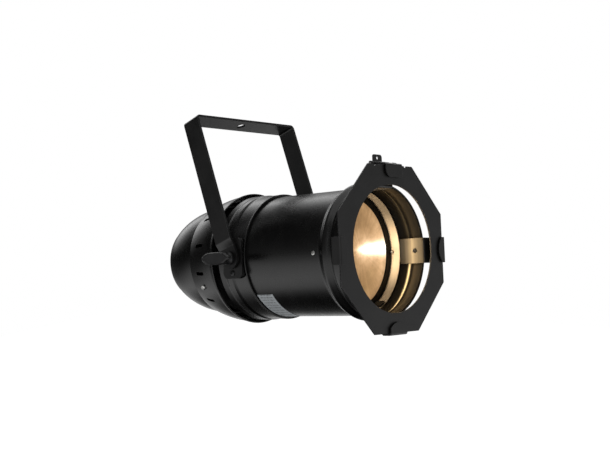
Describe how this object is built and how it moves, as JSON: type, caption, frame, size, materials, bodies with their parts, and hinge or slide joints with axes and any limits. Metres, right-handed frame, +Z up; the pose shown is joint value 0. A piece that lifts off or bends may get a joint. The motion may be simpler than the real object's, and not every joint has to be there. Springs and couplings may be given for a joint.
{
  "type": "par can light",
  "caption": "Tubular zoom par can stage light with a bent strap yoke, octagonal gel frame held by clips and a hinged latch, vented rear dome and rear control panel.",
  "frame": {"origin": "centre of the clamp-bolt hole in the outer face of the yoke's crossbar, where the lamp hangs", "axes": "+Z up, +Y towards the rear of the lamp along its beam axis, +X along the tilt axis; the beam leaves towards -Y"},
  "size_m": [0.218, 0.3304, 0.2713],
  "materials": {
    "housing_black": "satin black powder coat on spun and rolled sheet",
    "steel_black": "satin black on folded strip, worn at the edges",
    "knob_black": "moulded black nylon, fine texture",
    "zinc": "bright zinc-plated steel",
    "aluminium": "bare extruded or spun aluminium",
    "glass": "ribbed, faintly warm lens glass",
    "led_yellow": "phosphor-coated LED array",
    "board_green": "green circuit board",
    "fibre": "dark fibre friction washer",
    "display": "dark display window",
    "label_grey": "blank grey rating label",
    "plastic_black": "moulded black plastic"
  },
  "bodies": {
    "yoke": {"yoke": "housing_black", "pivot_washer_left": "fibre", "pivot_washer_right": "fibre"},
    "can": {"front_tube": "housing_black", "front_collar": "housing_black", "rear_ring": "housing_black", "rear_band": "housing_black", "rear_dome": "housing_black", "pivot_bracket_left": "steel_black", "pivot_bracket_right": "steel_black", "bracket_screw_left_upper": "steel_black", "bracket_screw_left_lower": "steel_black", "bracket_screw_right_upper": "steel_black", "bracket_screw_right_lower": "steel_black", "gel_frame": "steel_black", "clip_left": "steel_black", "clip_right": "steel_black", "clip_bottom": "steel_black", "latch_base": "steel_black", "bulkhead": "steel_black", "rear_panel": "steel_black", "stop_screw_left": "zinc", "stop_screw_right": "zinc", "clip_rivet_left": "zinc", "clip_rivet_right": "zinc", "clip_rivet_top": "zinc", "clip_rivet_bottom": "zinc", "latch_pin": "zinc", "latch_spring": "zinc", "dome_cage": "zinc", "dome_screw_1": "zinc", "dome_screw_2": "zinc", "dome_screw_3": "zinc", "dome_screw_4": "zinc", "driver_tray": "zinc", "reflector": "aluminium", "heat_sink": "aluminium", "led_driver": "aluminium", "led_cob": "led_yellow", "control_board": "board_green", "display": "display", "label": "label_grey", "fan_frame": "plastic_black", "dmx_in_socket": "plastic_black", "dmx_out_socket": "plastic_black", "power_inlet": "plastic_black"},
    "knob_left": {"pivot_knob_left": "knob_black"},
    "knob_right": {"pivot_knob_right": "knob_black"},
    "latch": {"latch_flap": "steel_black"},
    "carriage": {"lens": "glass", "lens_ring": "housing_black", "lens_barrel": "housing_black"},
    "zoom_screw": {"zoom_screw": "knob_black"},
    "fan_rotor": {"fan_rotor": "plastic_black"},
    "button_1": {"button_1": "plastic_black"},
    "button_2": {"button_2": "plastic_black"},
    "button_3": {"button_3": "plastic_black"},
    "button_4": {"button_4": "plastic_black"}
  },
  "joints": [
    {"name": "tilt", "type": "hinge", "parent": "yoke", "child": "can", "pos_m": [0, -0.05685, -0.1729], "axis": [1, 0, 0], "range_deg": [-60, 205]},
    {"name": "knob_left_turn", "type": "hinge", "parent": "can", "child": "knob_left", "pos_m": [-0.1, -0.05685, -0.1729], "axis": [-1, 0, 0], "range_deg": [0, 270]},
    {"name": "knob_right_turn", "type": "hinge", "parent": "can", "child": "knob_right", "pos_m": [0.1, -0.05685, -0.1729], "axis": [1, 0, 0], "range_deg": [0, 270]},
    {"name": "latch_open", "type": "hinge", "parent": "can", "child": "latch", "pos_m": [0, -0.22485, -0.0731], "axis": [-1, 0, 0], "range_deg": [0, 100], "stiffness_Nm_per_rad": 0.02, "springref_deg": -34.38},
    {"name": "lens_focus", "type": "slide", "parent": "can", "child": "carriage", "axis": [0, 1, 0], "range_m": [0, 0.05]},
    {"name": "zoom_screw_turn", "type": "hinge", "parent": "carriage", "child": "zoom_screw", "pos_m": [0.039, -0.15735, -0.23965], "axis": [0.5, 0, -0.866], "range_deg": [0, 270]},
    {"name": "fan_spin", "type": "hinge", "parent": "can", "child": "fan_rotor", "pos_m": [0, -0.02335, -0.1721], "axis": [0, 1, 0], "continuous": true},
    {"name": "button_1_press", "type": "slide", "parent": "can", "child": "button_1", "axis": [0, -1, 0], "range_m": [0, 0.001], "stiffness_N_per_m": 900, "springref_m": -0.0006},
    {"name": "button_2_press", "type": "slide", "parent": "can", "child": "button_2", "axis": [0, -1, 0], "range_m": [0, 0.001], "stiffness_N_per_m": 900, "springref_m": -0.0006},
    {"name": "button_3_press", "type": "slide", "parent": "can", "child": "button_3", "axis": [0, -1, 0], "range_m": [0, 0.001], "stiffness_N_per_m": 900, "springref_m": -0.0006},
    {"name": "button_4_press", "type": "slide", "parent": "can", "child": "button_4", "axis": [0, -1, 0], "range_m": [0, 0.001], "stiffness_N_per_m": 900, "springref_m": -0.0006}
  ]
}
